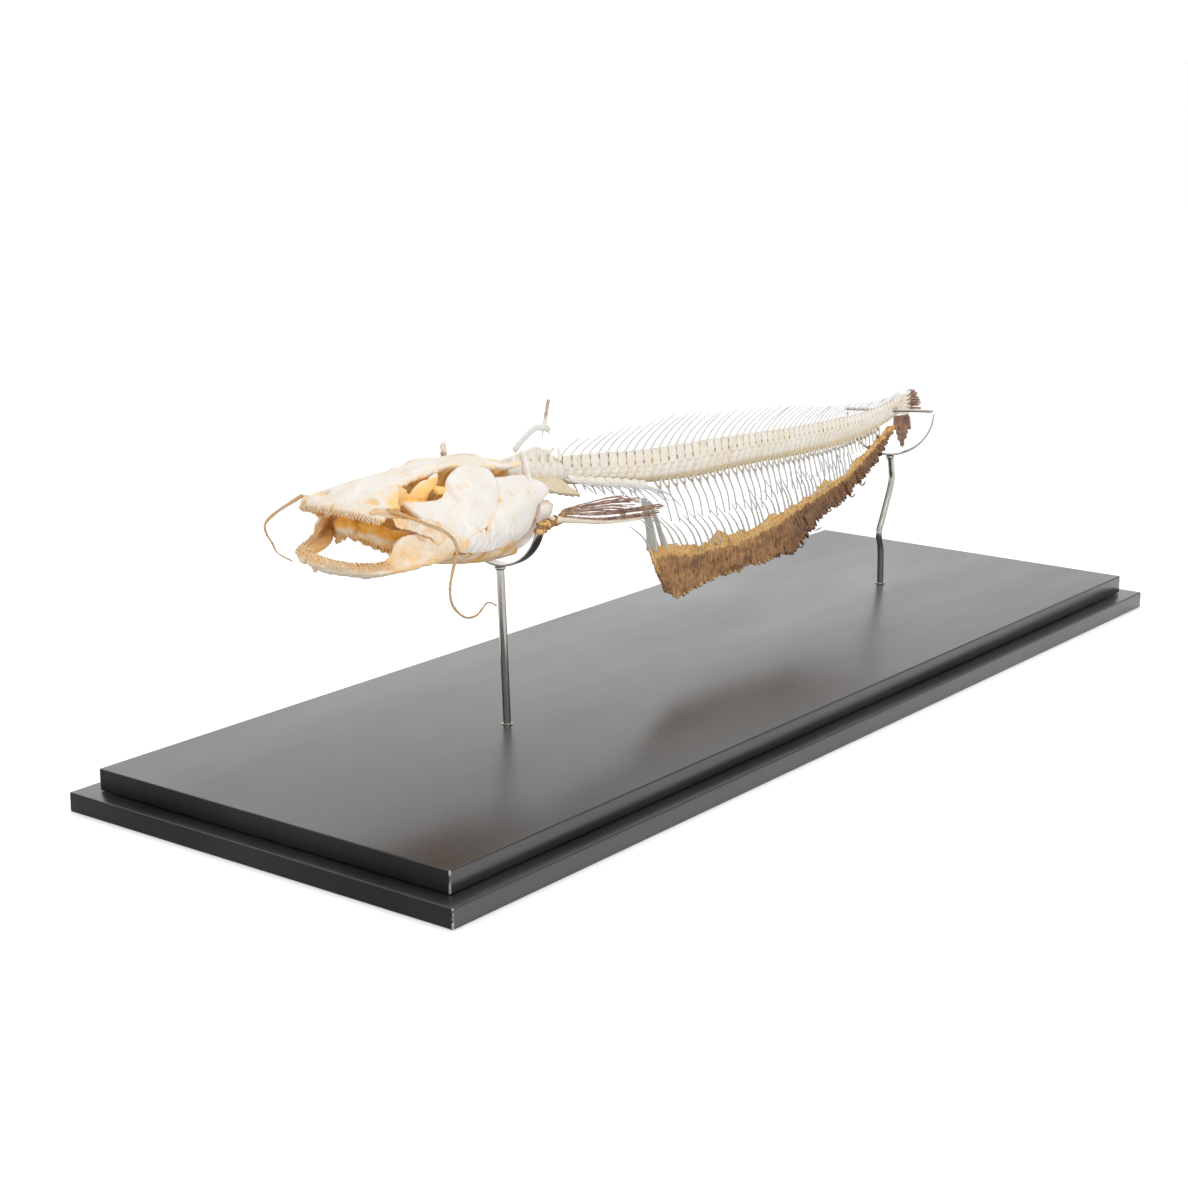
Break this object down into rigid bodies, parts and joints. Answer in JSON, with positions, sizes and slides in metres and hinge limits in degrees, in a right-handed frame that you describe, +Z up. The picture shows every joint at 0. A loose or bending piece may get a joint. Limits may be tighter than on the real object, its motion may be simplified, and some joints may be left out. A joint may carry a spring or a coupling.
{
  "type": "fish skeleton",
  "caption": "Skeleton of a catfish with a broad flat skull, long feelers, spined backbone and a dried anal fin, held by steel rods and cradles on a stepped black board.",
  "frame": {"origin": "middle of the underside of the base board", "axes": "+X runs along the base from the snout end to the tail end, the left flank of the fish faces -Y, +Z is up"},
  "size_m": [0.619, 0.2222, 0.1685],
  "materials": {
    "board": "satin black lacquer on wood",
    "steel": "polished bare steel",
    "skull_bone": "dry ivory bone with yellow staining in the hollows",
    "stained_bone": "dry bone with ochre staining",
    "tooth_bone": "peach bone covered in fine teeth",
    "column_bone": "ivory bone, slightly glossy on the vertebra rims",
    "spine_bone": "thin greyish white bone",
    "dried_fin": "dried brown skin with orange streaks over fin rays",
    "tail_fin": "dried mauve brown fin rays",
    "feeler_skin": "dried amber skin"
  },
  "bodies": {
    "root": {"base_lower_board": "board", "base_upper_board": "board", "front_rod": "steel", "front_cradle": "steel", "rear_rod": "steel", "rear_cradle": "steel", "rear_pin": "steel", "neurocranium": "skull_bone", "premaxilla_left": "tooth_bone", "premaxilla_right": "tooth_bone", "barbel_left": "feeler_skin", "barbel_right": "feeler_skin", "cheek_left": "skull_bone", "cheek_right": "skull_bone", "opercle_left": "skull_bone", "opercle_right": "skull_bone", "mandible_left": "tooth_bone", "mandible_right": "tooth_bone", "hyoid_left": "stained_bone", "hyoid_right": "stained_bone", "branchiostegal_left": "stained_bone", "branchiostegal_right": "stained_bone", "shoulder_left": "skull_bone", "shoulder_right": "skull_bone", "pectoral_fin_left": "tail_fin", "pectoral_fin_right": "tail_fin", "weberian_complex": "column_bone", "dorsal_fin": "spine_bone", "trunk_vertebrae": "column_bone", "ribs_left": "spine_bone", "ribs_right": "spine_bone", "tail_vertebrae_front": "column_bone", "tail_vertebrae_middle": "column_bone", "tail_vertebrae_rear": "column_bone", "anal_fin_front": "dried_fin", "anal_fin_middle": "dried_fin", "anal_fin_rear": "dried_fin", "caudal_fin_upper": "tail_fin", "caudal_fin_lower": "tail_fin"}
  },
  "joints": []
}
